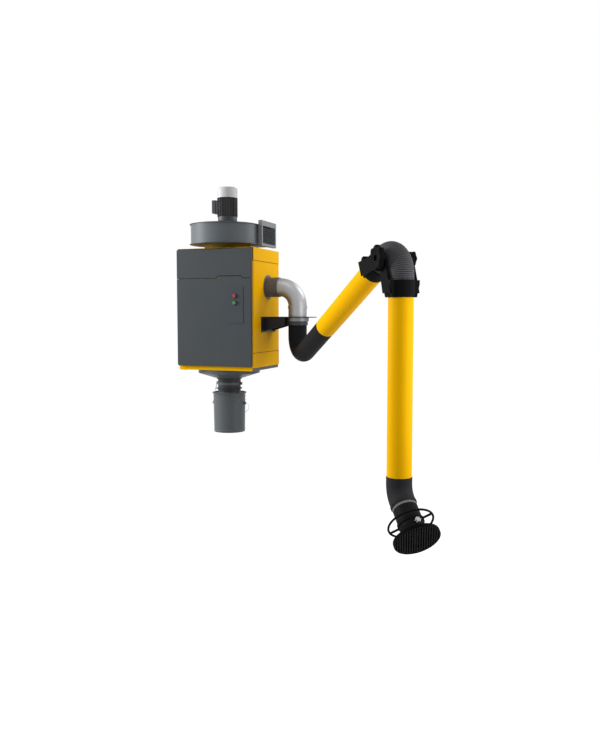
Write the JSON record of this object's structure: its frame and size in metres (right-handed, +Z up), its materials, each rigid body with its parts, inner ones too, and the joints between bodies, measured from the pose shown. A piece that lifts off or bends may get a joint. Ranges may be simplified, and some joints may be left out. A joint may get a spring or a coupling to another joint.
{
  "type": "fume filtration unit",
  "caption": "Wall-hung fume filter: boxed cabinet with a roof fan, dust bucket below, and a jointed extraction arm ending in a slotted hood.",
  "frame": {"origin": "centre of the four wall bolts, on the wall plane", "axes": "+Y into the wall, +Z up, the door faces -Y"},
  "size_m": [2.475, 1.9831, 2.5736],
  "materials": {
    "yellow_paint": "satin",
    "dark_paint": "satin",
    "grey_paint": "satin",
    "pale_paint": "satin",
    "black_plastic": "matte",
    "grey_plastic": "matte",
    "hose_rubber": "matte",
    "foam": "matte",
    "bright_steel": "brushed",
    "cast_alloy": "cast",
    "motor_dark": "painted",
    "media": "pleated",
    "red_cap": "gloss",
    "green_cap": "gloss",
    "panel_face": "satin"
  },
  "bodies": {
    "cabinet": {"wall_frame": "grey_paint", "casing_wrap": "yellow_paint", "top_cap": "yellow_paint", "bottom_tray": "yellow_paint", "upper_front_cover": "dark_paint", "tube_sheet": "grey_paint", "filter_media": "media", "filter_top_ring": "grey_plastic", "filter_bottom_cap": "grey_plastic", "tie_rod": "bright_steel", "inlet_baffle": "grey_paint", "air_tank": "pale_paint", "pulse_valve": "bright_steel", "hinge_pins": "bright_steel", "hopper": "grey_paint", "dust_sleeve": "grey_paint", "clamp_band": "bright_steel", "fan_collar": "yellow_paint", "fan_housing": "grey_paint", "fan_inlet_cone": "grey_paint", "outlet_grille": "pale_paint", "motor_flange": "cast_alloy", "motor_frame": "motor_dark", "terminal_box": "motor_dark", "fan_cowl": "pale_paint", "motor_bearings": "bright_steel", "inlet_collar": "dark_paint", "inlet_elbow": "pale_paint", "duct_clamp": "pale_paint", "arm_bracket": "dark_paint", "swivel_housing": "bright_steel"},
    "door": {"front_door": "dark_paint", "door_gasket": "foam", "control_panel": "panel_face"},
    "stop": {"stop_button": "red_cap"},
    "start": {"start_button": "green_cap"},
    "rotor": {"rotor_shaft": "bright_steel", "impeller": "grey_paint", "cooling_fan": "black_plastic"},
    "bucket": {"dust_bucket": "grey_paint", "bucket_lid": "grey_paint"},
    "bail": {"bucket_bail": "bright_steel"},
    "lever": {"clamp_lever": "bright_steel"},
    "swivel": {"swivel_sleeve": "bright_steel", "base_hose": "hose_rubber"},
    "inner_arm": {"inner_tube": "yellow_paint", "base_fork": "bright_steel", "inner_knuckle": "black_plastic"},
    "outer_arm": {"outer_tube": "yellow_paint", "outer_knuckle": "black_plastic", "elbow_bolts": "bright_steel", "elbow_hose": "hose_rubber"},
    "hood_swivel": {"hood_collar": "bright_steel", "hood_hose": "hose_rubber"},
    "hood": {"hood_neck": "black_plastic", "hood_flange": "black_plastic", "ring_handle": "black_plastic"},
    "damper": {"damper_plate": "grey_paint", "damper_knob": "grey_plastic"}
  },
  "joints": [
    {"name": "door_hinge", "type": "hinge", "parent": "cabinet", "child": "door", "pos_m": [-0.337, -0.615, 0], "axis": [0, 0, -1], "range_deg": [0, 90]},
    {"name": "stop_press", "type": "slide", "parent": "door", "child": "stop", "axis": [0, 1, 0], "range_m": [0, 0.004], "stiffness_N_per_m": 600},
    {"name": "start_press", "type": "slide", "parent": "door", "child": "start", "axis": [0, 1, 0], "range_m": [0, 0.004], "stiffness_N_per_m": 600},
    {"name": "fan_spin", "type": "hinge", "parent": "cabinet", "child": "rotor", "pos_m": [0.022, -0.39, 0.7], "axis": [0, 0, 1], "continuous": true},
    {"name": "bucket_drop", "type": "slide", "parent": "cabinet", "child": "bucket", "axis": [0, 0, -1], "range_m": [0, 0.12]},
    {"name": "bail_swing", "type": "hinge", "parent": "bucket", "child": "bail", "pos_m": [0, -0.33, -0.828], "axis": [1, 0, 0], "range_deg": [0, 75]},
    {"name": "clamp_swing", "type": "hinge", "parent": "cabinet", "child": "lever", "pos_m": [-0.118, -0.33, -0.657], "axis": [0, 1, 0], "range_deg": [0, 95]},
    {"name": "arm_swivel", "type": "hinge", "parent": "cabinet", "child": "swivel", "pos_m": [0.6255, -0.2915, -0.1], "axis": [0, 0, 1], "range_deg": [-55, 48]},
    {"name": "inner_lift", "type": "hinge", "parent": "swivel", "child": "inner_arm", "pos_m": [0.66616, -0.33753, -0.35104], "axis": [-0.7495, -0.662, 0], "range_deg": [-50, 15], "deforming": ["base_hose"]},
    {"name": "elbow", "type": "hinge", "parent": "inner_arm", "child": "outer_arm", "pos_m": [1.77037, -1.58782, 0.30487], "axis": [-0.7495, -0.662, 0], "range_deg": [-34, 85], "deforming": ["elbow_hose"]},
    {"name": "hood_turn", "type": "hinge", "parent": "outer_arm", "child": "hood_swivel", "pos_m": [1.82002, -1.64403, -1.1], "axis": [0, 0, 1], "range_deg": [-178, 178]},
    {"name": "hood_tilt", "type": "hinge", "parent": "hood_swivel", "child": "hood", "pos_m": [1.82002, -1.64403, -1.1975], "axis": [-0.7976, -0.6032, 0], "range_deg": [-90, 5], "deforming": ["hood_hose"]},
    {"name": "damper_turn", "type": "hinge", "parent": "hood", "child": "damper", "pos_m": [1.94705, -1.81199, -1.37358], "axis": [0.4281, -0.4793, 0.7661], "range_deg": [0, 90]}
  ]
}
